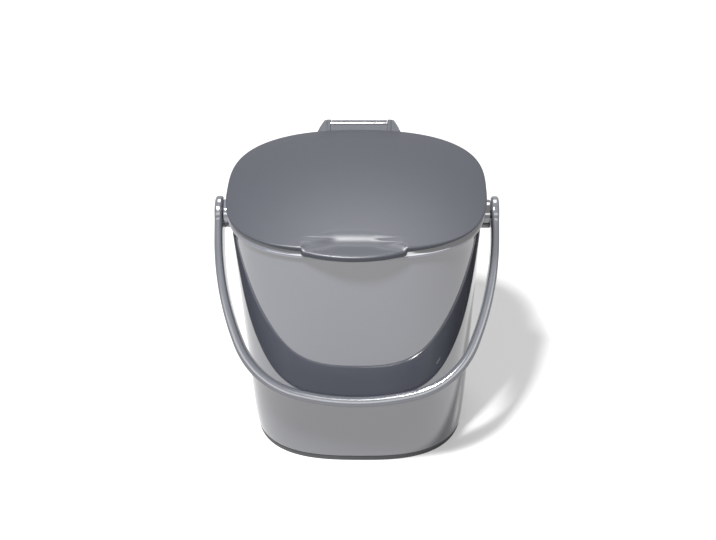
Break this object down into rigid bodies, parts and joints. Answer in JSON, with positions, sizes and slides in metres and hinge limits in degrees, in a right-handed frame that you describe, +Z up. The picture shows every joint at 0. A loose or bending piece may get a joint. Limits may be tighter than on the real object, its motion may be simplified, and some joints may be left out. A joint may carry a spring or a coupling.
{
  "type": "compost caddy",
  "caption": "Tapered counter caddy for kitchen scraps: domed lid hinged at the back with a finger tab in front, and a bow handle that swings on side pivots.",
  "frame": {"origin": "on the table, under the middle of the bucket", "axes": "+Z up, -Y towards the front (tab side), +X to the right of someone facing the front"},
  "size_m": [0.2378, 0.2212, 0.2387],
  "materials": {
    "bucket_plastic": "glossy moulded charcoal",
    "bail_plastic": "glossy moulded charcoal",
    "lid_plastic": "satin moulded charcoal",
    "liner_plastic": "satin moulded charcoal",
    "foot_rubber": "matt soft moulding",
    "seal_rubber": "matt soft moulding",
    "rod_steel": "satin drawn bar"
  },
  "bodies": {
    "bucket": {"bucket": "bucket_plastic", "foot_ring": "foot_rubber", "bail_stud_left": "bucket_plastic", "bail_stud_right": "bucket_plastic"},
    "lid": {"lid_cover": "lid_plastic", "lid_liner": "liner_plastic", "lid_seal": "seal_rubber", "hinge_rod": "rod_steel"},
    "bail": {"bail_handle": "bail_plastic"}
  },
  "joints": [
    {"name": "lid_hinge", "type": "hinge", "parent": "bucket", "child": "lid", "pos_m": [0, 0.1057, 0.2312], "axis": [-1, 0, 0], "range_deg": [0, 105]},
    {"name": "bail_swing", "type": "hinge", "parent": "bucket", "child": "bail", "pos_m": [0, 0, 0.203], "axis": [-1, 0, 0], "range_deg": [0, 282.22]}
  ]
}
